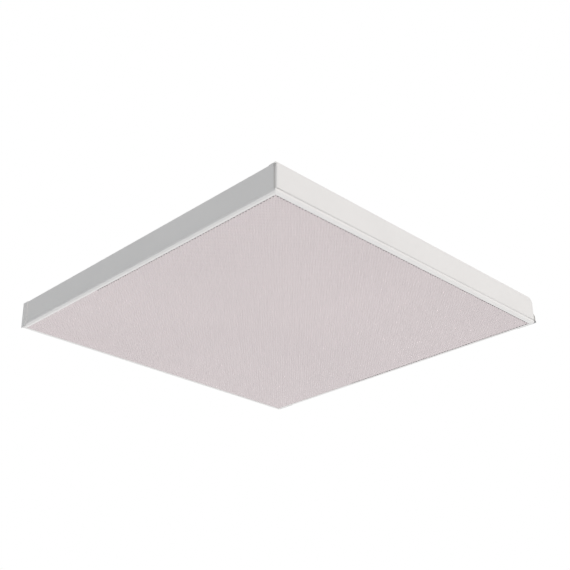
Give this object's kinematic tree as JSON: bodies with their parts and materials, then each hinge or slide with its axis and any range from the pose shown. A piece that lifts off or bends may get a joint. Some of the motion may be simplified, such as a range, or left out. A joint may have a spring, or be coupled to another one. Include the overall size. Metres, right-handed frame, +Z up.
{
  "type": "recessed troffer light",
  "caption": "Square recessed ceiling light: folded steel housing with end plates, hinged door frame with a prismatic diffuser, LED boards and driver inside, swing-out brackets on the back.",
  "frame": {"origin": "centre of the square on the finished ceiling plane, which is the underside of the door frame", "axes": "+Z up into the ceiling, +X towards the hinges, +Y towards the end with the cable entry"},
  "size_m": [0.6006, 0.595, 0.0525],
  "materials": {
    "white_powder_coat": "satin white powder coat, fine orange peel",
    "white_frame": "satin white powder coat",
    "prismatic_acrylic": "clear-edged opal acrylic with a pyramid pattern below and a smooth upper face",
    "zinc_plated_steel": "zinc plated, slightly mottled",
    "white_reflector": "matt reflector white",
    "board_white": "white solder mask on an aluminium core",
    "led_phosphor": "yellow phosphor in a white package",
    "connector_white": "moulded nylon",
    "driver_plastic": "moulded white plastic, fine texture",
    "circuit_board_green": "green solder mask",
    "component_dark": "moulded and wound components",
    "terminal_grey": "moulded polyamide",
    "brass_plain": "plain brass",
    "wire_brown": "PVC insulation",
    "wire_blue": "PVC insulation",
    "wire_green_yellow": "PVC insulation, two colours",
    "wire_white": "PVC insulation",
    "grommet_rubber": "moulded rubber",
    "silicone_clear": "soft silicone",
    "magnet_nickel": "nickel plated"
  },
  "bodies": {
    "housing": {"housing_pan": "white_powder_coat", "end_plate_near": "white_powder_coat", "end_plate_far": "white_powder_coat", "end_plate_screws": "zinc_plated_steel", "gear_channel_side_latch": "white_reflector", "gear_channel_side_hinge": "white_reflector", "gear_channel_screws": "zinc_plated_steel", "gear_cover": "white_reflector", "gear_cover_screws": "zinc_plated_steel", "driver_base": "driver_plastic", "driver_lid": "driver_plastic", "driver_circuit_board": "circuit_board_green", "driver_components": "component_dark", "driver_screws": "zinc_plated_steel", "terminal_block": "terminal_grey", "terminal_screws": "brass_plain", "earth_stud": "zinc_plated_steel", "earth_lug": "brass_plain", "earth_washer": "zinc_plated_steel", "earth_nut": "zinc_plated_steel", "live_wire": "wire_brown", "neutral_wire": "wire_blue", "earth_wire": "wire_green_yellow", "output_wires": "wire_white", "jumper_wires": "wire_white", "cable_grommet": "grommet_rubber", "cable_clamp": "connector_white", "cable_clamp_screws": "zinc_plated_steel", "led_board_1": "board_white", "led_board_2": "board_white", "led_board_3": "board_white", "led_board_4": "board_white", "led_packages": "led_phosphor", "board_connectors": "connector_white", "board_screws": "zinc_plated_steel", "hinge_leaf_housing_near": "zinc_plated_steel", "hinge_leaf_housing_far": "zinc_plated_steel", "hinge_pin_near": "zinc_plated_steel", "hinge_pin_far": "zinc_plated_steel", "hinge_rivets": "zinc_plated_steel", "magnet_holder_near": "connector_white", "magnet_holder_far": "connector_white", "catch_magnets": "magnet_nickel", "magnet_screws": "zinc_plated_steel", "bracket_pivots": "zinc_plated_steel", "bracket_washers": "zinc_plated_steel"},
    "door": {"door_rail_latch": "white_frame", "door_rail_hinge": "white_frame", "door_rail_near": "white_frame", "door_rail_far": "white_frame", "corner_brackets": "zinc_plated_steel", "diffuser_panel": "prismatic_acrylic", "diffuser_pads": "silicone_clear", "strike_plates": "zinc_plated_steel", "hinge_leaf_door_near": "zinc_plated_steel", "hinge_leaf_door_far": "zinc_plated_steel"},
    "bracket_1": {"swing_bracket_1": "zinc_plated_steel"},
    "bracket_2": {"swing_bracket_2": "zinc_plated_steel"},
    "bracket_3": {"swing_bracket_3": "zinc_plated_steel"},
    "bracket_4": {"swing_bracket_4": "zinc_plated_steel"}
  },
  "joints": [
    {"name": "door_hinge", "type": "hinge", "parent": "housing", "child": "door", "pos_m": [0.3009, 0, 0.005], "axis": [0, -1, 0], "range_deg": [0, 90]},
    {"name": "bracket_1_swing", "type": "hinge", "parent": "housing", "child": "bracket_1", "pos_m": [-0.27, -0.23, 0.0458], "axis": [0, 0, 1], "range_deg": [0, 90]},
    {"name": "bracket_2_swing", "type": "hinge", "parent": "housing", "child": "bracket_2", "pos_m": [-0.27, 0.23, 0.0458], "axis": [0, 0, -1], "range_deg": [0, 90]},
    {"name": "bracket_3_swing", "type": "hinge", "parent": "housing", "child": "bracket_3", "pos_m": [0.27, -0.23, 0.0458], "axis": [0, 0, -1], "range_deg": [0, 90]},
    {"name": "bracket_4_swing", "type": "hinge", "parent": "housing", "child": "bracket_4", "pos_m": [0.27, 0.23, 0.0458], "axis": [0, 0, 1], "range_deg": [0, 90]}
  ]
}
